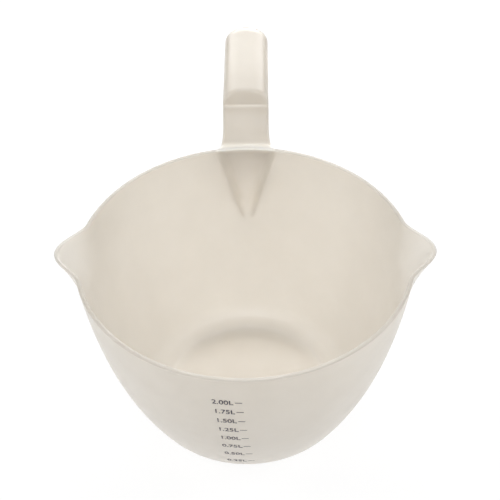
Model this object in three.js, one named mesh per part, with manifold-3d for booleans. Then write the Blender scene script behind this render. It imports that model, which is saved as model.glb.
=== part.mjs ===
// Hair color mixing bowl: a tapering vessel with two pour spouts, a moulded back handle and a printed
// litre scale. Millimetres, +Z up. The origin is the centre of the flat underside, the handle points
// to +Y, the spouts to +X and -X, and the scale is on the -Y wall.
import * as THREE from "three";
import { mergeVertices } from "three/addons/utils/BufferGeometryUtils.js";
import Module from "manifold-3d";

const wasm = await Module();
wasm.setup();

// Vessel
const RIM_RADIUS = 95.9; // outside, at the top edge
const HEIGHT = 122.5;
const BASE_RADIUS = 45.7; // flat underside
const CORNER_RADIUS = 23.9; // outside, between underside and wall
const CORNER_LEAN = 0.465; // wall's angle from vertical where it leaves the corner, radians
const RIM_LEAN = 0.104; // the same at the rim
const WALL = 2.2;
const ROUND_SEGMENTS = 96;
const CORNER_STEPS = 5;
const WALL_STEPS = 8;
const STEP_CROWDING = 1.6; // over 1, the wall's steps get shorter towards the rim

// Pour spouts
const SPOUT_REACH = 12.9; // how far the nose stands out of the rim circle
const SPOUT_HALF_ANGLE = THREE.MathUtils.degToRad(15);
const SPOUT_DEPTH = 27; // how far below the rim the bulge fades out
const SPOUT_FADE = 1.5; // power of the fade: 1 is a straight V, more is hollower

// Handle
const GAP = 0.3; // clearance between neighbouring solids
const HANDLE_END = 204.5; // farthest point from the axis
const GRIP_WIDTH = 29;
const GRIP_UNDERSIDE = HEIGHT + 8.5;
const CREST = { y: 116.5, z: HEIGHT + 16.5 }; // top of the neck, in front of the thumb step
const LEDGE_WIDTH = 1.4;
const CROWN_HEIGHT = 8.5; // of the grip's middle above the ledge
const STEP_LENGTH = 5.5; // along the handle, from the ledge up to the crown
const CROWN_POWER = 2.3; // superellipse exponent of the crown's section
const CROWN_STEPS = 14;
const END_SEGMENTS = 32; // round the domed far end
const SEAT_WIDTH = 2.7; // flat strip behind the rim, before the neck rises
const SEAT_DROP = 0.2; // of that strip below the rim
const NECK_BEND = { y: 11.3, z: 6.0 }; // control point of the neck's hollow sweep, from the neck's foot
const ROOT_HALF_WIDTH = 18.5; // at the rim
const ROOT_FLARE_END = 110; // where the neck has narrowed to the grip's width
const RIB_START = 26; // from the crest back to where the underside starts to fall
const RIB_BEND = { y: 20, drop: 19 }; // control point of that fall, from the rim and the underside
const KEEL_DROP = 53; // how far the root runs down the wall below the rim
const KEEL_TIP_Y = RIM_RADIUS - 8.5; // just inside the wall's surface there
const KEEL_TIP_HALF_WIDTH = 2;
const INSIDE_Y = RIM_RADIUS - 25; // inside the vessel, where the root's blank starts before it is cut
const HANDLE_WALL = 2.2;

// Printed scale: one line and one number for each quarter litre
const CUBIC_MM_PER_LITRE = 1e6;
const FILL_MARGIN = 1.025; // the lines stand a little low: each holds a fortieth less than its number
const SCALE_STEP = 0.25; // litres
const SCALE_MARKS = 8;
const INK_THICKNESS = 0.25;
const DIGIT = { width: 2.1, height: 4.2, advance: 2.7 };
const DOT_ADVANCE = 1.3;
const PEN = 0.52; // stroke width
const NUMBER_LENGTH = 11.4;
const LINE_GAP = 0.6; // between a number and its line
const LINE_LENGTH = 3.8;
const SCALE_LEFT_X = -16.9; // left end of the top number
const SCALE_DRIFT = 0.066; // sideways shift of the column for each millimetre down

const plastic = new THREE.MeshStandardMaterial({ color: 0xe2dacd, roughness: 0.38, metalness: 0 });
const ink = new THREE.MeshStandardMaterial({ color: 0x4b4759, roughness: 0.55, metalness: 0 });

// ---------- solids ----------

function solidFrom(geometry) {
  const bare = geometry.clone();
  bare.deleteAttribute("normal");
  bare.deleteAttribute("uv");
  const merged = mergeVertices(bare, 1e-4);
  return new wasm.Manifold(
    new wasm.Mesh({
      numProp: 3,
      vertProperties: merged.attributes.position.array,
      triVerts: new Uint32Array(merged.index.array),
    }),
  );
}

function geometryFrom(solid) {
  const mesh = solid.getMesh();
  const geometry = new THREE.BufferGeometry();
  geometry.setAttribute("position", new THREE.BufferAttribute(mesh.vertProperties, 3));
  geometry.setIndex(new THREE.BufferAttribute(mesh.triVerts, 1));
  const faceted = geometry.toNonIndexed();
  faceted.computeVertexNormals();
  return faceted;
}

function named(name, geometry, material) {
  const mesh = new THREE.Mesh(geometry, material);
  mesh.name = name;
  return mesh;
}

function prism(shape, depth, curveSegments = 8) {
  return new THREE.ExtrudeGeometry(shape, { depth, bevelEnabled: false, curveSegments });
}

// ---------- vessel ----------

// Where the wall leaves the bottom corner
const wallFoot = {
  r: BASE_RADIUS + CORNER_RADIUS * Math.cos(CORNER_LEAN),
  z: CORNER_RADIUS * (1 - Math.sin(CORNER_LEAN)),
};

// The wall's outside as a cubic through its foot and the rim, with both leans: radius and slope at z
function wallAt(z) {
  const rise = HEIGHT - wallFoot.z;
  const t = (z - wallFoot.z) / rise;
  const footSlope = Math.tan(CORNER_LEAN) * rise;
  const rimSlope = Math.tan(RIM_LEAN) * rise;
  const growth = RIM_RADIUS - wallFoot.r;
  const square = 3 * growth - 2 * footSlope - rimSlope;
  const cube = footSlope + rimSlope - 2 * growth;
  return {
    r: wallFoot.r + t * (footSlope + t * (square + t * cube)),
    slope: (footSlope + t * (2 * square + t * 3 * cube)) / rise,
  };
}

// Outline points from the underside's edge to the rim, moved inwards by inset along the wall's normal
function outline(inset) {
  const points = [];
  for (let i = 0; i <= CORNER_STEPS; i++) {
    const angle = -Math.PI / 2 + (i / CORNER_STEPS) * (Math.PI / 2 - CORNER_LEAN);
    const radius = CORNER_RADIUS - inset;
    points.push(
      new THREE.Vector2(
        BASE_RADIUS + radius * Math.cos(angle),
        CORNER_RADIUS + radius * Math.sin(angle),
      ),
    );
  }
  for (let i = 1; i <= WALL_STEPS; i++) {
    const z = HEIGHT - (1 - i / WALL_STEPS) ** STEP_CROWDING * (HEIGHT - wallFoot.z);
    const { r, slope } = wallAt(z);
    const along = inset / Math.hypot(1, slope);
    const top = i === WALL_STEPS;
    points.push(new THREE.Vector2(r - along, top ? HEIGHT : z + along * slope));
  }
  return points;
}

// A lathe about the Z axis
function turned(points) {
  return new THREE.LatheGeometry(points, ROUND_SEGMENTS).rotateX(Math.PI / 2);
}

// How far the spouts push the wall outwards at a point
function spoutBulge(x, y, z) {
  const angle = Math.atan2(Math.abs(y), Math.abs(x));
  if (angle >= SPOUT_HALF_ANGLE || z <= HEIGHT - SPOUT_DEPTH) return 0;
  const across = Math.cos((Math.PI / 2) * (angle / SPOUT_HALF_ANGLE)) ** 2;
  const down = ((z - (HEIGHT - SPOUT_DEPTH)) / SPOUT_DEPTH) ** SPOUT_FADE;
  return SPOUT_REACH * across * down;
}

function pushSpouts(geometry) {
  const position = geometry.attributes.position;
  for (let i = 0; i < position.count; i++) {
    const [x, y, z] = [position.getX(i), position.getY(i), position.getZ(i)];
    const radius = Math.hypot(x, y);
    if (radius < BASE_RADIUS) continue;
    const scale = 1 + spoutBulge(x, y, z) / radius;
    position.setXY(i, x * scale, y * scale);
  }
  return geometry;
}

function makeBowl() {
  const outer = outline(0);
  const inner = outline(WALL).reverse();
  const profile = [new THREE.Vector2(0, 0), ...outer, ...inner, new THREE.Vector2(0, WALL)];
  return named("bowl_shell", pushSpouts(turned(profile)), plastic);
}

// ---------- handle ----------

// Side view of the handle's outside, in Y and Z, shrunk by inset; the hollow uses the same outline
// with its underside lowered, so that it is open below
function handleSide(inset, underside, keelBottom) {
  const neckFoot = { y: RIM_RADIUS + SEAT_WIDTH + inset / 2, z: HEIGHT - SEAT_DROP - inset };
  const neckBend = { y: neckFoot.y + NECK_BEND.y, z: neckFoot.z + NECK_BEND.z };
  const crest = { y: CREST.y + inset, z: CREST.z - inset };
  const stepFoot = crest.y + LEDGE_WIDTH;
  const top = crest.z + CROWN_HEIGHT;
  const end = HANDLE_END - inset;
  const ribBend = { y: RIM_RADIUS + RIB_BEND.y, z: underside - RIB_BEND.drop };
  const wallY = INSIDE_Y;
  const shape = new THREE.Shape();
  shape.moveTo(wallY, neckFoot.z);
  shape.lineTo(neckFoot.y, neckFoot.z);
  shape.quadraticCurveTo(neckBend.y, neckBend.z, crest.y, crest.z);
  shape.lineTo(stepFoot, crest.z);
  shape.quadraticCurveTo(stepFoot + STEP_LENGTH * 0.7, top - 0.4, stepFoot + STEP_LENGTH, top);
  shape.lineTo(end, top);
  shape.lineTo(end, underside);
  shape.lineTo(CREST.y + RIB_START, underside);
  shape.quadraticCurveTo(ribBend.y, ribBend.z, KEEL_TIP_Y, keelBottom);
  shape.lineTo(wallY, keelBottom);
  return shape;
}

// Top view: the neck flares into the rim, and the far end is half round
function handlePlan(inset) {
  const half = GRIP_WIDTH / 2 - inset;
  const root = ROOT_HALF_WIDTH - inset;
  const rootY = RIM_RADIUS - 2;
  const bendY = RIM_RADIUS + 2.5;
  const shape = new THREE.Shape();
  shape.moveTo(root, INSIDE_Y);
  shape.lineTo(root, rootY);
  shape.quadraticCurveTo(half, bendY, half, ROOT_FLARE_END);
  shape.absarc(0, HANDLE_END - GRIP_WIDTH / 2, half, 0, Math.PI, false);
  shape.lineTo(-half, ROOT_FLARE_END);
  shape.quadraticCurveTo(-half, bendY, -root, rootY);
  shape.lineTo(-root, INSIDE_Y);
  return shape;
}

// Right half of the crown, from its side up to its middle, over a base at height zero
function crownCurve(inset) {
  const half = GRIP_WIDTH / 2 - inset;
  const points = [];
  for (let i = 0; i <= CROWN_STEPS / 2; i++) {
    const angle = (Math.PI * i) / CROWN_STEPS;
    const middle = i === CROWN_STEPS / 2;
    const x = middle ? 0 : half * Math.cos(angle) ** (2 / CROWN_POWER);
    points.push(new THREE.Vector2(x, CROWN_HEIGHT * Math.sin(angle) ** (2 / CROWN_POWER)));
  }
  return points;
}

// Front view: crowned on top, straight sides, and a V that closes down the wall
function handleFront(inset) {
  const half = ROOT_HALF_WIDTH - inset;
  const base = CREST.z - inset;
  const shoulder = HEIGHT - 3;
  const tip = { x: Math.max(KEEL_TIP_HALF_WIDTH - inset, 0), z: HEIGHT - KEEL_DROP - 2 + 4 * inset };
  const curve = crownCurve(inset);
  const shape = new THREE.Shape();
  shape.moveTo(-tip.x, tip.z);
  shape.lineTo(-half, shoulder);
  shape.lineTo(-half, base);
  for (const { x, y } of curve) shape.lineTo(-x, base + y);
  for (const { x, y } of curve.slice(0, -1).reverse()) shape.lineTo(x, base + y);
  shape.lineTo(half, base);
  shape.lineTo(half, shoulder);
  if (tip.x > 0) shape.lineTo(tip.x, tip.z);
  return shape;
}

// Everything in front of the end's centre, and a dome with the crown's own section beyond it
function domeCut(inset) {
  const centreY = HANDLE_END - GRIP_WIDTH / 2;
  const reach = 2 * HANDLE_END;
  const base = CREST.z - inset;
  const curve = crownCurve(inset).map(({ x, y }) => new THREE.Vector2(x, base + y));
  const dome = new THREE.LatheGeometry(
    [new THREE.Vector2(0, -HEIGHT), new THREE.Vector2(curve[0].x, -HEIGHT), ...curve],
    END_SEGMENTS,
  );
  const near = new THREE.BoxGeometry(reach, reach, reach).translate(0, centreY - reach / 2, 0);
  return solidFrom(near).add(solidFrom(dome.rotateX(Math.PI / 2).translate(0, centreY, 0)));
}

// The three views crossed with each other, and domed at the far end
function crossed(inset, underside, keelBottom) {
  const long = 2 * HANDLE_END;
  const wide = 4 * GRIP_WIDTH;
  const side = prism(handleSide(inset, underside, keelBottom), wide)
    .rotateZ(Math.PI / 2)
    .rotateY(Math.PI / 2)
    .translate(-wide / 2, 0, 0);
  const front = prism(handleFront(inset), long).rotateX(Math.PI / 2).translate(0, long, 0);
  return solidFrom(side)
    .intersect(solidFrom(prism(handlePlan(inset), long)))
    .intersect(solidFrom(front))
    .intersect(domeCut(inset));
}

// The vessel's outside, grown by the gap and carried on above the rim
function handleCutter() {
  return solidFrom(
    turned([
      new THREE.Vector2(0, -GAP),
      ...outline(-GAP),
      new THREE.Vector2(RIM_RADIUS + GAP, 2 * HEIGHT),
      new THREE.Vector2(0, 2 * HEIGHT),
    ]),
  );
}

function makeHandle() {
  const keelBottom = HEIGHT - KEEL_DROP;
  const openBelow = 60; // how far the hollow's tool reaches under the handle
  const body = crossed(0, GRIP_UNDERSIDE, keelBottom);
  const hollow = crossed(HANDLE_WALL, GRIP_UNDERSIDE - openBelow, keelBottom - openBelow);
  return named("handle", geometryFrom(body.subtract(hollow).subtract(handleCutter())), plastic);
}

// ---------- printed scale ----------

// Height at which the inside of the bowl holds a volume, found by adding up thin discs
function fillHeight(litres) {
  const inner = outline(WALL);
  const discs = 200;
  let volume = 0;
  for (let i = 1; i < inner.length; i++) {
    const [low, high] = [inner[i - 1], inner[i]];
    for (let j = 0; j < discs; j++) {
      const radius = THREE.MathUtils.lerp(low.x, high.x, (j + 0.5) / discs);
      const slice = (high.y - low.y) / discs;
      volume += Math.PI * radius ** 2 * slice;
      if (volume >= litres * CUBIC_MM_PER_LITRE) return low.y + (j + 1) * slice;
    }
  }
  return HEIGHT;
}

function bar(x0, y0, x1, y1) {
  const length = Math.hypot(x1 - x0, y1 - y0) + PEN;
  return new THREE.BoxGeometry(length, PEN, INK_THICKNESS)
    .rotateZ(Math.atan2(y1 - y0, x1 - x0))
    .translate((x0 + x1) / 2, (y0 + y1) / 2, INK_THICKNESS / 2);
}

// An elliptical arc of the pen, drawn anticlockwise from one angle to another
function bow(cx, cy, rx, ry, from, to) {
  const shape = new THREE.Shape();
  shape.absellipse(cx, cy, rx + PEN / 2, ry + PEN / 2, from, to, false);
  shape.absellipse(cx, cy, rx - PEN / 2, ry - PEN / 2, to, from, true);
  return prism(shape, INK_THICKNESS, 6);
}

function ring(cx, cy, rx, ry) {
  const shape = new THREE.Shape().absellipse(cx, cy, rx + PEN / 2, ry + PEN / 2, 0, 2 * Math.PI, false);
  shape.holes.push(
    new THREE.Path().absellipse(cx, cy, rx - PEN / 2, ry - PEN / 2, 0, 2 * Math.PI, true),
  );
  return prism(shape, INK_THICKNESS, 10);
}

// Pen strokes of each character, with the pen's middle between (left, low) and (right, high)
const left = PEN / 2;
const right = DIGIT.width - PEN / 2;
const low = PEN / 2;
const high = DIGIT.height - PEN / 2;
const middle = DIGIT.width / 2;
const waist = DIGIT.height * 0.58;
const belly = (waist - low) / 2;
const shoulder = (right - left) / 2;
const glyphs = {
  0: () => [ring(middle, DIGIT.height / 2, shoulder, (high - low) / 2)],
  1: () => [bar(middle, low, middle, high), bar(middle - 0.6, high - 0.6, middle, high)],
  2: () => [
    bow(middle, high - shoulder, shoulder, shoulder, -0.4, Math.PI * 0.95),
    bar(left, low, middle + shoulder * Math.cos(-0.4), high - shoulder + shoulder * Math.sin(-0.4)),
    bar(left, low, right, low),
  ],
  5: () => [
    bar(left + 0.1, high, right, high),
    bar(left + 0.1, high, left, waist - 0.1),
    bow(middle - 0.1, low + belly, shoulder + 0.1, belly, -Math.PI * 0.85, Math.PI * 0.75),
  ],
  7: () => [bar(left, high, right, high), bar(right, high, middle - 0.3, low)],
  L: () => [bar(left, low, left, high), bar(left, low, right - 0.2, low)],
  ".": () => [new THREE.BoxGeometry(PEN, PEN, INK_THICKNESS).translate(PEN, low, INK_THICKNESS / 2)],
};

// A number's characters joined along their feet by a thin line of the same ink
function numberGeometry(text) {
  const footLine = 0.16;
  let solid = solidFrom(
    new THREE.BoxGeometry(NUMBER_LENGTH - DIGIT.width / 2, footLine, INK_THICKNESS).translate(
      NUMBER_LENGTH / 2,
      footLine / 2 + 0.05,
      INK_THICKNESS / 2,
    ),
  );
  let pen = 0;
  for (const character of text) {
    for (const stroke of glyphs[character]()) solid = solid.add(solidFrom(stroke.translate(pen, 0, 0)));
    pen += character === "." ? DOT_ADVANCE : DIGIT.advance;
  }
  return geometryFrom(solid).translate(-NUMBER_LENGTH / 2, -DIGIT.height / 2, 0);
}

// Lays a flat piece on the front wall: its middle at height z, a distance x to the right of the centre
function onWall(mesh, x, z) {
  const { r, slope } = wallAt(z);
  const angle = Math.asin(x / r);
  const outward = new THREE.Vector3(Math.sin(angle), -Math.cos(angle), 0);
  const across = new THREE.Vector3(Math.cos(angle), Math.sin(angle), 0);
  const up = outward.clone().multiplyScalar(slope).add(new THREE.Vector3(0, 0, 1)).normalize();
  const normal = across.clone().cross(up);
  mesh.quaternion.setFromRotationMatrix(new THREE.Matrix4().makeBasis(across, up, normal));
  mesh.position.copy(outward).multiplyScalar(r).setZ(z).addScaledVector(normal, GAP);
  return mesh;
}

function lineHeight(litres) {
  return fillHeight(litres / FILL_MARGIN);
}

function makeMark(litres) {
  const label = litres.toFixed(2);
  const suffix = label.replace(".", "_");
  const z = lineHeight(litres);
  const start = SCALE_LEFT_X + SCALE_DRIFT * (lineHeight(SCALE_MARKS * SCALE_STEP) - z);
  const line = new THREE.BoxGeometry(LINE_LENGTH, PEN, INK_THICKNESS).translate(0, 0, INK_THICKNESS / 2);
  const lineX = start + NUMBER_LENGTH + LINE_GAP + LINE_LENGTH / 2;
  const mark = new THREE.Group();
  mark.add(
    onWall(named(`scale_line_${suffix}`, line, ink), lineX, z),
    onWall(named(`scale_number_${suffix}`, numberGeometry(label + "L"), ink), start + NUMBER_LENGTH / 2, z),
  );
  return mark;
}

// ---------- assembly ----------

const bowl = new THREE.Group();
bowl.add(makeBowl(), makeHandle());
for (let i = 1; i <= SCALE_MARKS; i++) bowl.add(makeMark(i * SCALE_STEP));

export default bowl;
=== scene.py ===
"""Hair color mixing bowl in frosted polypropylene: the fine surfaces, materials, light and camera."""

import math

import bmesh
import bpy
import numpy as np
from mathutils import Matrix, Vector


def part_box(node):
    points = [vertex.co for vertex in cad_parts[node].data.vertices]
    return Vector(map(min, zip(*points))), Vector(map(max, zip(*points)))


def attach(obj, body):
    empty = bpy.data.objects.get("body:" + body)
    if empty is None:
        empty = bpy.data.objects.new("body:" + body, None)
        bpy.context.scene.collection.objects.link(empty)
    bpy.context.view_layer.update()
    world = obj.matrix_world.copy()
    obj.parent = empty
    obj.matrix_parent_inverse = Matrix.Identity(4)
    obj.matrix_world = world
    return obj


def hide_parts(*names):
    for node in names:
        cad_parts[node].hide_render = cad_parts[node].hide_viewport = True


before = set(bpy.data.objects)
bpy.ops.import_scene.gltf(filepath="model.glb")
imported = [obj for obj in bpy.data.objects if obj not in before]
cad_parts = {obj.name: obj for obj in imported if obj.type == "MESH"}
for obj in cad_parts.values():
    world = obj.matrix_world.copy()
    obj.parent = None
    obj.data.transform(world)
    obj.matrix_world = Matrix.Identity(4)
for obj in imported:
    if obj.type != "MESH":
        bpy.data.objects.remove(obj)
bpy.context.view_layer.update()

# ---------- sizes, in metres ----------

MM = 0.001
_, SHELL_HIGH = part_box("bowl_shell")
HANDLE_LOW, HANDLE_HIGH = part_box("handle")

HEIGHT = SHELL_HIGH.z
RIM_RADIUS = SHELL_HIGH.y
SPOUT_REACH = SHELL_HIGH.x - RIM_RADIUS
SPOUT_HALF_ANGLE = math.radians(15)
SPOUT_DEPTH = 27 * MM
SPOUT_FADE = 1.5
BASE_RADIUS = 45.7 * MM
CORNER_RADIUS = 23.9 * MM
CORNER_LEAN = 0.465
RIM_LEAN = 0.104
WALL = 2.2 * MM
FLOOR_THICKNESS = 2.6 * MM
FLOOR_RADIUS = 51.5 * MM  # inside, where the flat floor meets the slanting band round it
FLOOR_FILLET = 1.6 * MM
BAND_TILT = math.radians(36)
LIP_EXTRA = 0.35 * MM  # the rim's lip is this much thicker than the wall
LIP_DEPTH = 4.5 * MM
EDGE_ROUND = 0.8 * MM  # of the rim's top edges

HANDLE_END = HANDLE_HIGH.y
GRIP_HALF = 14.5 * MM
UNDERSIDE = HEIGHT + 8.5 * MM
CREST_Y = 116.5 * MM
CREST_Z = HEIGHT + 16.5 * MM
LEDGE = 1.4 * MM
CROWN = HANDLE_HIGH.z - CREST_Z
CROWN_POWER = 2.3
STEP_LENGTH = 5.5 * MM
SEAT_WIDTH = 2.7 * MM  # flat strip behind the rim, before the neck rises
SEAT_DROP = 0.03 * MM
NECK_BEND = (11.3 * MM, 6.0 * MM)
ROOT_HALF = 18.5 * MM
FLARE_START_Y = RIM_RADIUS - 2 * MM
FLARE_BEND_Y = RIM_RADIUS + 2.5 * MM
FLARE_END_Y = 110 * MM
RIB_START = 26 * MM
RIB_BEND = (20 * MM, 19 * MM)
RIB_INSIDE = 8.5 * MM  # how far the ribs' curve ends inside the rim's radius
RIB_WEB = 0.5  # the root's ribs are this share of the handle's wall, so they leave no sink marks
KEEL_DROP = 53 * MM
KEEL_TIP_HALF = 2 * MM
KEEL_TIP_Z = HEIGHT - KEEL_DROP - 2 * MM
KEEL_RISE = HEIGHT - 3 * MM - KEEL_TIP_Z  # of each side of the root's V
KEEL_RUN = ROOT_HALF - KEEL_TIP_HALF
ROOT_GAP = 0.12 * MM
LAP = 0.6 * MM  # the seat laps over the lip's rounded edge by this much
LAP_DEPTH = 1.2 * MM

CREST_ROUND = 0.6 * MM
TOP_ROUND = 1.6 * MM
KEEL_ROUND = 2 * MM
LOWER_EDGE_ROUND = 0.9 * MM
HOLLOW_ROUND = 0.8 * MM
FOOT_ROUND = 0.6 * MM  # where the handle grows out of the vessel's wall
FOOT_REACH = 3 * MM
FOOT_TOP = 0.3 * MM

NUMBER_HEIGHT = 4.2 * MM
LINE_HALF = 0.26 * MM
INK_LIFT = 0.03 * MM

# ---------- looks ----------

BOWL_TONES = ((0.668, 0.614, 0.543, 1), (0.698, 0.642, 0.568, 1))
# The handle's tones are the bowl's own darkened by about 8 percent: painted shade that dims the grip, which
# the lights leave too bright; both are the same plastic.
HANDLE_TONES_PAINTED_SHADE = ((0.615, 0.563, 0.494, 1), (0.645, 0.591, 0.519, 1))
# Painted shade along the rim's top: the bowl's colour darkens towards this tone over the wall's top 0.9 mm,
# at half strength.
RIM_PAINTED_SHADE_TONE = (0.30, 0.28, 0.25, 1)
RIM_SHADE_FADE = 0.9 * MM
RIM_SHADE_STRENGTH = 0.5
LIGHT_TRAVEL = 12 * MM  # how far light goes in the plastic between scatterings
SHORTER_TRAVEL = 9 * MM  # what is taken off it where bowl and handle meet
# Painted light where handle and vessel meet: this paler tone is blended over the ribs of the handle's root,
# into the lip above the root and onto the handle's foot, lifting the shade that the two separate pieces leave
# on each other there.
ROOT_PAINTED_LIGHT_TONE = (0.91, 0.85, 0.765, 1)
HANDLE_FOOT_PAINTED_LIGHT = (RIM_RADIUS + 5 * MM, RIM_RADIUS + 1 * MM)
LIP_PAINTED_LIGHT = (HEIGHT - 3.5 * MM, HEIGHT - 0.5 * MM)
BESIDE_V = (1 * MM, -2 * MM)
RIB_FADE = (HEIGHT - 48 * MM, HEIGHT - 36 * MM)
RIB_PAINTED_LIGHT_REACH = 10 * MM
RIB_PAINTED_LIGHT = [(0.0, 0.0), (0.18, 0.0), (0.33, 0.62), (0.44, 0.62), (0.58, 0.0), (1.0, 0.0)]

LIT_CENTRE_Y = 0.22  # the brightly lit part of the floor is an ellipse round this point
LIT_REACH = (0.34, 0.32)
LIT_FADE = (1.0, 2.0)  # in reaches
FLOOR_GLOW, FAR_GLOW = 0.87, 0.3
SHADE_INNER = (40 * MM, 46 * MM)  # a soft ring of shade on the floor round the back of the bowl's foot
SHADE_OUTER = (60 * MM, 54 * MM)
SHADE_BEHIND = (14 * MM, 52 * MM)
SHADE_DEPTH = 0.29
FLOOR_DROP = 0.2 * MM


# ---------- vessel ----------

FOOT_R = BASE_RADIUS + CORNER_RADIUS * math.cos(CORNER_LEAN)
FOOT_Z = CORNER_RADIUS * (1 - math.sin(CORNER_LEAN))


def wall_at(z):
    """Outside radius and slope of the wall at height z: a cubic from the corner to the rim."""
    rise = HEIGHT - FOOT_Z
    t = (z - FOOT_Z) / rise
    a = math.tan(CORNER_LEAN) * rise
    b = math.tan(RIM_LEAN) * rise
    growth = RIM_RADIUS - FOOT_R
    square = 3 * growth - 2 * a - b
    cube = a + b - 2 * growth
    return FOOT_R + t * (a + t * (square + t * cube)), (a + t * (2 * square + t * 3 * cube)) / rise


def outside_radius(z):
    """Outside radius at any height, as an array: corner below the wall's foot, and the wall above it."""
    z = np.asarray(z, float)
    low = np.clip(z, 0, FOOT_Z)
    corner = BASE_RADIUS + np.sqrt(np.maximum(CORNER_RADIUS**2 - (CORNER_RADIUS - low) ** 2, 0))
    return np.where(z < FOOT_Z, corner, wall_at(z)[0])


def spout_bulge(x, y, z):
    """How far the spouts push the wall outwards."""
    angle = np.arctan2(np.abs(y), np.abs(x))
    across = np.where(
        angle < SPOUT_HALF_ANGLE, np.cos(np.minimum(angle / SPOUT_HALF_ANGLE, 1) * math.pi / 2) ** 2, 0
    )
    down = np.clip((z - (HEIGHT - SPOUT_DEPTH)) / SPOUT_DEPTH, 0, 1) ** SPOUT_FADE
    return SPOUT_REACH * across * down


def smoothstep(t):
    t = np.clip(t, 0, 1)
    return t * t * (3 - 2 * t)


def bowl_profile():
    """Radius and height along the section, from the underside's middle over the rim to the floor's."""
    corner_steps, wall_steps, round_steps, flat_steps, band_steps = 14, 44, 6, 8, 3
    section = [(r, 0.0) for r in np.linspace(0, BASE_RADIUS, flat_steps, endpoint=False)]
    for i in range(corner_steps + 1):
        angle = -math.pi / 2 + i / corner_steps * (math.pi / 2 - CORNER_LEAN)
        section.append((BASE_RADIUS + CORNER_RADIUS * math.cos(angle), CORNER_RADIUS * (1 + math.sin(angle))))
    top = HEIGHT - EDGE_ROUND
    heights = [FOOT_Z + (top - FOOT_Z) * i / wall_steps for i in range(1, wall_steps + 1)]
    for z in heights:
        section.append((wall_at(z)[0], z))
    rim_r = wall_at(top)[0]
    thick = WALL + LIP_EXTRA
    for i in range(1, round_steps + 1):
        angle = i / round_steps * math.pi / 2
        section.append((rim_r - EDGE_ROUND * (1 - math.cos(angle)), top + EDGE_ROUND * math.sin(angle)))
    for i in range(round_steps + 1):
        angle = math.pi / 2 + i / round_steps * math.pi / 2
        across = EDGE_ROUND * (1 + math.cos(angle))
        section.append((rim_r - thick + across, top + EDGE_ROUND * math.sin(angle)))
    for z in reversed(heights[:-1]):
        r, slope = wall_at(z)
        lip = LIP_EXTRA * float(smoothstep((z - (HEIGHT - LIP_DEPTH)) / LIP_DEPTH * 2))
        along = (WALL + lip) / math.hypot(1, slope)
        section.append((r - along, z + along * slope * min(1, (HEIGHT - z) / (3 * WALL))))
    radius = CORNER_RADIUS - WALL
    for i in range(corner_steps + 1):
        tilt = (math.pi / 2 - CORNER_LEAN) + i / corner_steps * (BAND_TILT - math.pi / 2 + CORNER_LEAN)
        section.append((BASE_RADIUS + radius * math.sin(tilt), CORNER_RADIUS - radius * math.cos(tilt)))
    band_r, band_z = section[-1]
    edge = (FLOOR_RADIUS, FLOOR_THICKNESS)
    slant = math.hypot(band_r - edge[0], band_z - edge[1])
    along = ((band_r - edge[0]) / slant, (band_z - edge[1]) / slant)
    for i in range(1, band_steps + 1):
        reach = slant + (FLOOR_FILLET - slant) * i / band_steps
        section.append((edge[0] + along[0] * reach, edge[1] + along[1] * reach))
    start = section[-1]
    end = (edge[0] - FLOOR_FILLET, edge[1])
    for i in range(1, round_steps + 1):
        t = i / round_steps
        section.append(
            tuple((1 - t) ** 2 * start[k] + 2 * t * (1 - t) * edge[k] + t**2 * end[k] for k in (0, 1))
        )
    for r in np.linspace(end[0], 0, flat_steps + 1)[1:]:
        section.append((r, FLOOR_THICKNESS))
    return section


def mesh_object(name, vertices, faces):
    mesh = bpy.data.meshes.new(name)
    mesh.from_pydata([tuple(v) for v in vertices], [], [tuple(int(i) for i in f) for f in faces])
    mesh.validate()
    mesh.update()
    mesh.polygons.foreach_set("use_smooth", [True] * len(mesh.polygons))
    piece = bpy.data.objects.new(name, mesh)
    bpy.context.scene.collection.objects.link(piece)
    return piece


def make_bowl():
    around = 288
    section = bowl_profile()
    vertices = [(0, 0, section[0][1])]
    for r, z in section[1:-1]:
        for k in range(around):
            angle = 2 * math.pi * k / around
            x, y = r * math.cos(angle), r * math.sin(angle)
            scale = 1 + float(spout_bulge(x, y, z)) / r
            vertices.append((x * scale, y * scale, z))
    vertices.append((0, 0, section[-1][1]))
    rings = len(section) - 2
    faces = []
    for k in range(around):
        nxt = (k + 1) % around
        faces.append((0, 1 + nxt, 1 + k))
        last = 1 + (rings - 1) * around
        faces.append((len(vertices) - 1, last + k, last + nxt))
        for j in range(rings - 1):
            a, b = 1 + j * around, 1 + (j + 1) * around
            faces.append((a + k, a + nxt, b + nxt, b + k))
    return mesh_object("frosted_bowl", vertices, faces)


# ---------- handle ----------


def smax(a, b, k):
    """The greater of two fields, rounded over a width k where they meet."""
    h = np.maximum(k - np.abs(a - b), 0) / k
    return np.maximum(a, b) + h * h * k / 4


def smin(a, b, k):
    return -smax(-a, -b, k)


def bezier(p0, p1, p2, steps=80):
    t = np.linspace(0, 1, steps)
    return tuple((1 - t) ** 2 * p0[i] + 2 * t * (1 - t) * p1[i] + t**2 * p2[i] for i in (0, 1))


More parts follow.
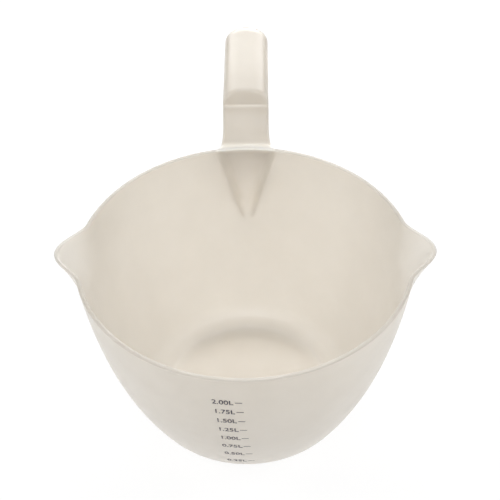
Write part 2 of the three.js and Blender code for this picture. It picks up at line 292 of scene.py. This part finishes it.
def handle_shell(x, y, z, inset):
    """Field of the handle's outer form, negative inside, without its open underside."""
    half = GRIP_HALF - inset
    ys, flare = bezier((FLARE_START_Y, ROOT_HALF - inset), (FLARE_BEND_Y, half), (FLARE_END_Y, half))
    half_at = np.interp(y, ys, flare)
    centre = HANDLE_END - GRIP_HALF
    across = np.where(y > centre, np.hypot(x, y - centre), np.abs(x)) / half_at
    base = CREST_Z - inset
    lift = np.maximum(z - base, 0) / CROWN
    distance_share = 0.75  # turns the crown's ratio into about a distance
    crown = ((across**CROWN_POWER + lift**CROWN_POWER) ** (1 / CROWN_POWER) - 1) * half * distance_share

    foot = (RIM_RADIUS + SEAT_WIDTH + inset / 2, HEIGHT - SEAT_DROP - inset)
    crest = (CREST_Y + inset, base)
    ys, zs = bezier(foot, (foot[0] + NECK_BEND[0], foot[1] + NECK_BEND[1]), crest)
    rise = (zs[-1] - zs[-2]) / (ys[-1] - ys[-2])
    neck = np.interp(y, ys, zs) + np.maximum(y - crest[0], 0) * rise
    slope = np.interp(y, ys, np.gradient(zs, ys))
    neck = (z - neck) / np.sqrt(1 + slope**2)
    neck = smax(neck, z - base, CREST_ROUND)
    step_rise = CROWN / STEP_LENGTH
    step = (base + (y - crest[0] - LEDGE) * step_rise - z) / math.hypot(1, step_rise)
    top = smin(neck, -step, CREST_ROUND)

    v_half = KEEL_TIP_HALF + (z - KEEL_TIP_Z) * KEEL_RUN / KEEL_RISE
    keel = (np.abs(x) - v_half) * KEEL_RISE / math.hypot(KEEL_RISE, KEEL_RUN) + inset * RIB_WEB
    return smax(smax(crown, top, TOP_ROUND), keel, KEEL_ROUND)


def handle_underside(y, z):
    """Field that is positive under the handle's lower edge."""
    ys, zs = bezier(
        (RIM_RADIUS - RIB_INSIDE, HEIGHT - KEEL_DROP),
        (RIM_RADIUS + RIB_BEND[0], UNDERSIDE - RIB_BEND[1]),
        (CREST_Y + RIB_START, UNDERSIDE),
    )
    slope = np.interp(y, ys, np.gradient(zs, ys))
    return (np.interp(y, ys, zs) - z) / np.sqrt(1 + slope**2)


def handle_field(x, y, z):
    """Field of the whole handle, negative inside: shell less hollow, widened where it meets the wall."""
    outer = smax(handle_shell(x, y, z, 0), handle_underside(y, z), LOWER_EDGE_ROUND)
    hollow = handle_shell(x, y, z, WALL)
    handle = smax(outer, -hollow, HOLLOW_ROUND)
    mean_slope = 0.2  # of the vessel's wall
    radial = (np.hypot(x, y) - outside_radius(np.minimum(z, HEIGHT))) / math.hypot(1, mean_slope)
    wall = np.maximum(radial, z - HEIGHT + FOOT_TOP)
    blended = smin(handle, wall, FOOT_ROUND)
    reach = np.interp(z, (HEIGHT - LAP_DEPTH - LAP, HEIGHT - LAP_DEPTH), (ROOT_GAP, -LAP))
    blended = np.maximum(blended, reach - radial)
    return np.maximum(blended, handle - FOOT_REACH)


def surface_net(field, low, high, cell):
    """Closed quad mesh of a field's zero surface, its vertices then moved onto that surface."""
    counts = [int(math.ceil((h - l) / cell)) + 1 for l, h in zip(low, high)]
    axes = [l + cell * np.arange(n) for l, n in zip(low, counts)]
    grid = np.meshgrid(*axes, indexing="ij")
    value = field(*grid)
    inside = value < 0
    nx, ny, nz = (n - 1 for n in counts)
    total = np.zeros((nx, ny, nz, 3))
    hits = np.zeros((nx, ny, nz))
    corner = [(i, j, k) for i in (0, 1) for j in (0, 1) for k in (0, 1)]
    for a in corner:
        for axis in range(3):
            if a[axis]:
                continue
            b = tuple(c + (1 if n == axis else 0) for n, c in enumerate(a))
            sa = tuple(slice(c, c + n) for c, n in zip(a, (nx, ny, nz)))
            sb = tuple(slice(c, c + n) for c, n in zip(b, (nx, ny, nz)))
            va, vb = value[sa], value[sb]
            crossing = inside[sa] != inside[sb]
            t = np.where(crossing, va / np.where(crossing, va - vb, 1), 0)
            for n in range(3):
                offset = a[n] + (t if n == axis else 0)
                total[..., n] += np.where(crossing, offset, 0)
            hits += crossing
    used = hits > 0
    index = np.full(used.shape, -1)
    index[used] = np.arange(used.sum())
    cells = np.argwhere(used)
    points = np.array(low) + cell * (cells + total[used] / hits[used][:, None])
    faces = []
    for axis in range(3):
        u, v = (axis + 1) % 3, (axis + 2) % 3
        first = [slice(1, -1)] * 3
        first[axis] = slice(0, -1)
        second = list(first)
        second[axis] = slice(1, None)
        a, b = inside[tuple(first)], inside[tuple(second)]
        where = np.argwhere(a != b)
        flip = b[tuple(where.T)]
        base = where.copy()
        base[:, u] += 1
        base[:, v] += 1
        ring = []
        for du, dv in ((1, 1), (0, 1), (0, 0), (1, 0)):
            at = base.copy()
            at[:, u] -= du
            at[:, v] -= dv
            ring.append(index[tuple(at.T)])
        quad = np.stack(ring, 1)
        quad[flip] = quad[flip][:, ::-1]
        faces.append(quad)
    faces = np.concatenate(faces)
    nudge, stride, least_square, rounds = cell * 0.05, cell * 0.3, 0.05, 4
    for _ in range(rounds):
        here = field(*points.T)
        gradient = np.stack(
            [
                (field(*(points + nudge * e).T) - field(*(points - nudge * e).T)) / (2 * nudge)
                for e in np.eye(3)
            ],
            1,
        )
        square = np.maximum((gradient**2).sum(1), least_square)
        move = -(here / square)[:, None] * gradient
        size = np.linalg.norm(move, axis=1, keepdims=True)
        points = points + move * np.minimum(1, stride / np.maximum(size, 1e-12))
    return points, faces


def make_handle():
    cell = 0.75 * MM
    margin = 3 * MM
    low = (HANDLE_LOW.x - margin, HANDLE_LOW.y - margin, HANDLE_LOW.z - margin)
    high = (HANDLE_HIGH.x + margin, HANDLE_HIGH.y + margin, HANDLE_HIGH.z + margin)
    points, faces = surface_net(handle_field, low, high, cell)
    return mesh_object("frosted_handle", points, faces)


# ---------- materials ----------


def new_material(name):
    material = bpy.data.materials.new(name)
    material.use_nodes = True
    nodes, links = material.node_tree.nodes, material.node_tree.links
    return material, nodes, links, nodes["Principled BSDF"]


def noise(nodes, links, scale, detail=3.0, roughness=0.5):
    coordinates = nodes.new("ShaderNodeTexCoord")
    texture = nodes.new("ShaderNodeTexNoise")
    texture.inputs["Scale"].default_value = scale
    texture.inputs["Detail"].default_value = detail
    texture.inputs["Roughness"].default_value = roughness
    links.new(coordinates.outputs["Object"], texture.inputs["Vector"])
    return texture


def ramp(nodes, links, source, stops):
    node = nodes.new("ShaderNodeValToRGB")
    node.color_ramp.elements[0].position, node.color_ramp.elements[0].color = stops[0]
    node.color_ramp.elements[1].position, node.color_ramp.elements[1].color = stops[-1]
    for spot, colour in stops[1:-1]:
        node.color_ramp.elements.new(spot).color = colour
    links.new(source, node.inputs["Fac"])
    return node.outputs["Color"]


def grey(value):
    return (value, value, value, 1)


def math_node(nodes, links, operation, *values):
    node = nodes.new("ShaderNodeMath")
    node.operation = operation
    for socket, value in zip(node.inputs, values):
        if isinstance(value, (int, float)):
            socket.default_value = value
        else:
            links.new(value, socket)
    return node.outputs["Value"]


def product(nodes, links, first, second):
    return math_node(nodes, links, "MULTIPLY", first, second)


def fade(nodes, links, value, start, end):
    """0 where the value is start, 1 where it is end, and smooth between."""
    node = nodes.new("ShaderNodeMapRange")
    node.interpolation_type = "SMOOTHSTEP"
    node.inputs["From Min"].default_value = start
    node.inputs["From Max"].default_value = end
    links.new(value, node.inputs["Value"])
    return node.outputs["Result"]


def blend(nodes, links, factor, colour, other):
    node = nodes.new("ShaderNodeMix")
    node.data_type = "RGBA"
    links.new(factor, node.inputs["Factor"])
    links.new(colour, node.inputs["A"])
    node.inputs["B"].default_value = other
    return node.outputs["Result"]


def position(nodes, links):
    """The point's own coordinates, as a vector and split into x, y and z."""
    place = nodes.new("ShaderNodeTexCoord").outputs["Object"]
    split = nodes.new("ShaderNodeSeparateXYZ")
    links.new(place, split.inputs["Vector"])
    return place, split.outputs


def root_painted_light(nodes, links, at):
    """Mask of painted light in the vessel's plastic: over the ribs of the handle's root, and in the lip
    between them.
    """
    slope = KEEL_RUN / KEEL_RISE
    half = math_node(nodes, links, "MULTIPLY_ADD", at["Z"], slope, KEEL_TIP_HALF - KEEL_TIP_Z * slope)
    beside = math_node(nodes, links, "ABSOLUTE", at["X"])
    outwards = math_node(nodes, links, "SUBTRACT", beside, half)
    span = nodes.new("ShaderNodeMapRange")
    span.inputs["From Min"].default_value = -RIB_PAINTED_LIGHT_REACH
    span.inputs["From Max"].default_value = RIB_PAINTED_LIGHT_REACH
    links.new(outwards, span.inputs["Value"])
    ribs = ramp(nodes, links, span.outputs["Result"], [(spot, grey(value)) for spot, value in RIB_PAINTED_LIGHT])
    ribs = product(nodes, links, ribs, fade(nodes, links, at["Z"], *RIB_FADE))
    lip = fade(nodes, links, at["Z"], *LIP_PAINTED_LIGHT)
    lip = product(nodes, links, lip, fade(nodes, links, outwards, *BESIDE_V))
    behind = fade(nodes, links, at["Y"], 0, RIM_RADIUS / 2)
    lip = product(nodes, links, lip, behind)
    ribs = product(nodes, links, ribs, behind)
    return math_node(nodes, links, "MAXIMUM", ribs, lip), lip


def plastic_surface(nodes, links, shader):
    """Satin gloss that varies slowly, and a fine grain."""
    flow = noise(nodes, links, 110, 5)
    gloss = ramp(nodes, links, flow.outputs["Fac"], [(0.3, grey(0.30)), (0.7, grey(0.40))])
    links.new(gloss, shader.inputs["Roughness"])
    grain = noise(nodes, links, 2600, 2)
    bump = nodes.new("ShaderNodeBump")
    bump.inputs["Strength"].default_value = 0.25
    bump.inputs["Distance"].default_value = 0.00003
    links.new(grain.outputs["Fac"], bump.inputs["Height"])
    links.new(bump.outputs["Normal"], shader.inputs["Normal"])


def frosted_plastic(name, tones, of_bowl):
    material, nodes, links, shader = new_material(name)
    cloud = noise(nodes, links, 38, 4)
    colour = ramp(nodes, links, cloud.outputs["Fac"], list(zip((0.3, 0.7), tones)))
    _, at = position(nodes, links)
    if of_bowl:
        # Painted light over the handle root's ribs and the lip between them.
        painted_light_mask, lip = root_painted_light(nodes, links, at)
        # Painted shade on the rim's top edge, left out in the lip above the handle's root.
        edge = product(nodes, links, fade(nodes, links, at["Z"], HEIGHT - RIM_SHADE_FADE, HEIGHT), RIM_SHADE_STRENGTH)
        edge = product(nodes, links, edge, math_node(nodes, links, "SUBTRACT", 1, lip))
        colour = blend(nodes, links, painted_light_mask, colour, ROOT_PAINTED_LIGHT_TONE)
        colour = blend(nodes, links, edge, colour, RIM_PAINTED_SHADE_TONE)
    else:
        # Painted light on the handle's foot where it meets the wall.
        painted_light_mask = fade(nodes, links, at["Y"], *HANDLE_FOOT_PAINTED_LIGHT)
        colour = blend(nodes, links, painted_light_mask, colour, ROOT_PAINTED_LIGHT_TONE)
    links.new(colour, shader.inputs["Base Color"])
    plastic_surface(nodes, links, shader)
    shader.inputs["IOR"].default_value = 1.49
    shader.inputs["Subsurface Weight"].default_value = 1.0
    shader.inputs["Subsurface Radius"].default_value = (1.0, 0.97, 0.93)
    travel = math_node(nodes, links, "MULTIPLY_ADD", painted_light_mask, -SHORTER_TRAVEL, LIGHT_TRAVEL)
    links.new(travel, shader.inputs["Subsurface Scale"])
    return material


def printed_ink():
    material, nodes, links, shader = new_material("scale_ink")
    patch = noise(nodes, links, 900, 3)
    dark, light = (0.055, 0.05, 0.075, 1), (0.10, 0.09, 0.125, 1)
    tint = ramp(nodes, links, patch.outputs["Fac"], [(0.35, dark), (0.75, light)])
    links.new(tint, shader.inputs["Base Color"])
    grain = noise(nodes, links, 3000, 2)
    rough = ramp(nodes, links, grain.outputs["Fac"], [(0.3, grey(0.45)), (0.7, grey(0.6))])
    links.new(rough, shader.inputs["Roughness"])
    return material


def length_of(nodes, links, vector):
    node = nodes.new("ShaderNodeVectorMath")
    node.operation = "LENGTH"
    links.new(vector, node.inputs[0])
    return node.outputs["Value"]


def floor_material():
    """White floor that glows over an ellipse, with a soft ring of shade behind the bowl's foot."""
    material, nodes, links, shader = new_material("studio_floor")
    shader.inputs["Base Color"].default_value = grey(0.15)
    shader.inputs["Roughness"].default_value = 0.9
    shader.inputs["Emission Color"].default_value = (1, 1, 1, 1)
    place, at = position(nodes, links)
    lit = nodes.new("ShaderNodeMapping")
    lit.inputs["Location"].default_value = (0, -LIT_CENTRE_Y / LIT_REACH[1], 0)
    lit.inputs["Scale"].default_value = (1 / LIT_REACH[0], 1 / LIT_REACH[1], 0)
    links.new(place, lit.inputs["Vector"])
    away = fade(nodes, links, length_of(nodes, links, lit.outputs["Vector"]), *LIT_FADE)
    glow = math_node(nodes, links, "MULTIPLY_ADD", away, FAR_GLOW - FLOOR_GLOW, FLOOR_GLOW)
    from_foot = length_of(nodes, links, place)
    ring = product(
        nodes, links, fade(nodes, links, from_foot, *SHADE_INNER), fade(nodes, links, from_foot, *SHADE_OUTER)
    )
    ring = product(nodes, links, ring, fade(nodes, links, at["Y"], *SHADE_BEHIND))
    unshaded = math_node(nodes, links, "MULTIPLY_ADD", ring, -SHADE_DEPTH, 1)
    links.new(product(nodes, links, glow, unshaded), shader.inputs["Emission Strength"])
    return material


# ---------- printed scale ----------


def on_wall(u, v, x0, z0, lift):
    """A point of the flat print, u across and v up from its place on the front wall."""
    z = z0 + v
    r, slope = wall_at(z0)
    radius = r + v * slope + lift
    angle = math.asin(x0 / r) + u / r
    return (radius * math.sin(angle), -radius * math.cos(angle), z)


def flat_text(text):
    """Mesh of one line of text lying in the XY plane, pen starting at the origin."""
    curve = bpy.data.curves.new("text", "FONT")
    curve.body = text
    curve.offset = 0.012  # makes the letters a little bolder
    curve.resolution_u = 6
    holder = bpy.data.objects.new("text", curve)
    bpy.context.scene.collection.objects.link(holder)
    bpy.context.view_layer.update()
    flat = bpy.data.meshes.new_from_object(holder.evaluated_get(bpy.context.evaluated_depsgraph_get()))
    bpy.data.objects.remove(holder)
    return flat


def text_extent(text):
    points = np.array([v.co for v in flat_text(text).vertices])
    return points.min(0), points.max(0)


def make_number(node, text, material):
    low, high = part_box(node)
    first, last = text_extent("0.00L")
    across = (high.x - low.x) / (last[0] - first[0])
    up = NUMBER_HEIGHT / (last[1] - first[1])
    x0, z0 = (low.x + high.x) / 2, (low.z + high.z) / 2
    work = bmesh.new()
    work.from_mesh(flat_text(text))
    for vertex in work.verts:
        u = (vertex.co.x - (first[0] + last[0]) / 2) * across
        v = (vertex.co.y - (first[1] + last[1]) / 2) * up
        vertex.co = on_wall(u, v, x0, z0, INK_LIFT)
    extruded = bmesh.ops.extrude_face_region(work, geom=work.faces[:])
    for vertex in extruded["geom"]:
        if isinstance(vertex, bmesh.types.BMVert):
            inward = Vector((vertex.co.x, vertex.co.y, 0)).normalized()
            vertex.co -= inward * 2 * INK_LIFT
    bmesh.ops.recalc_face_normals(work, faces=work.faces[:])
    mesh = bpy.data.meshes.new("print_" + node)
    work.to_mesh(mesh)
    work.free()
    mesh.materials.append(material)
    piece = bpy.data.objects.new("print_" + node, mesh)
    bpy.context.scene.collection.objects.link(piece)
    return piece


def make_line(node, material):
    low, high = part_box(node)
    x0, z0 = (low.x + high.x) / 2, (low.z + high.z) / 2
    length = high.x - low.x
    steps = 8
    ring = ((-LINE_HALF, -INK_LIFT), (LINE_HALF, -INK_LIFT), (LINE_HALF, INK_LIFT), (-LINE_HALF, INK_LIFT))
    vertices, faces = [], []
    for i in range(steps + 1):
        u = length * (i / steps - 0.5)
        for v, lift in ring:
            vertices.append(on_wall(u, v, x0, z0, lift))
    for i in range(steps):
        a, b = 4 * i, 4 * (i + 1)
        for k in range(4):
            n = (k + 1) % 4
            faces.append((a + k, b + k, b + n, a + n))
    faces.append((0, 1, 2, 3))
    last = 4 * steps
    faces.append((last + 3, last + 2, last + 1, last))
    piece = mesh_object("print_" + node, vertices, faces)
    piece.data.materials.append(material)
    return piece


# ---------- studio ----------


def make_camera():
    data = bpy.data.cameras.new("camera")
    data.sensor_width = 36
    data.lens = 77.07
    data.clip_start = 0.01
    camera = bpy.data.objects.new("camera", data)
    yaw, pitch, roll = math.radians(-1.083), math.radians(43.05), math.radians(-1.259)
    forward = Vector((math.sin(yaw) * math.cos(pitch), math.cos(yaw) * math.cos(pitch), -math.sin(pitch)))
    level = Vector((math.cos(yaw), -math.sin(yaw), 0))
    upward = level.cross(forward)
    right = level * math.cos(roll) + upward * math.sin(roll)
    up = upward * math.cos(roll) - level * math.sin(roll)
    place = Matrix((right, up, -forward)).transposed().to_4x4()
    place.translation = (0.01128, -0.44231, 0.53625)
    camera.matrix_world = place
    bpy.context.scene.collection.objects.link(camera)
    bpy.context.scene.camera = camera


def area_light(name, place, size, power):
    data = bpy.data.lights.new(name, "AREA")
    data.shape = "RECTANGLE"
    data.size, data.size_y = size
    data.energy = power
    light = bpy.data.objects.new(name, data)
    light.location = place
    direction = Vector((0, 0, 0.06)) - Vector(place)  # at the bowl's middle
    light.rotation_euler = direction.to_track_quat("-Z", "Y").to_euler()
    bpy.context.scene.collection.objects.link(light)
    return light


def make_studio():
    reach = 3.0
    corners = [(x * reach, y * reach, -FLOOR_DROP) for x, y in ((-1, -1), (1, -1), (1, 1), (-1, 1))]
    floor = mesh_object("floor", corners, [(0, 1, 2, 3)])
    floor.data.materials.append(floor_material())
    world = bpy.data.worlds.new("studio")
    world.use_nodes = True
    background = world.node_tree.nodes["Background"]
    background.inputs["Color"].default_value = (1, 1, 1, 1)
    background.inputs["Strength"].default_value = 0.1
    bpy.context.scene.world = world
    area_light("overhead", (0, 0.0, 1.3), (0.4, 0.4), 0.6)
    area_light("key", (0, 0.59, 1.16), (0.16, 0.16), 3.3)
    area_light("back_fill", (0, 1.2, 0.4), (1.2, 0.5), 8.5)
    area_light("front_fill", (0, -0.8, 1.1), (1.0, 0.6), 6.2)
    area_light("left_fill", (-1.0, 0.05, 0.8), (0.5, 0.9), 5.0)
    area_light("right_fill", (1.0, 0.05, 0.8), (0.5, 0.9), 5.0)
    bpy.context.scene.view_settings.view_transform = "Standard"


# ---------- assembly ----------

make_camera()
make_studio()

bowl_plastic = frosted_plastic("bowl_plastic", BOWL_TONES, of_bowl=True)
handle_plastic = frosted_plastic("handle_plastic", HANDLE_TONES_PAINTED_SHADE, of_bowl=False)
ink = printed_ink()

bowl = make_bowl()
handle = make_handle()
for piece, node, plastic in ((bowl, "bowl_shell", bowl_plastic), (handle, "handle", handle_plastic)):
    piece.data.materials.append(plastic)
    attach(piece, "root")
    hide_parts(node)

for node in sorted(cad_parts):
    if node.startswith("scale_number_"):
        piece = make_number(node, node[len("scale_number_"):].replace("_", ".") + "L", ink)
    elif node.startswith("scale_line_"):
        piece = make_line(node, ink)
    else:
        continue
    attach(piece, "root")
    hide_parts(node)
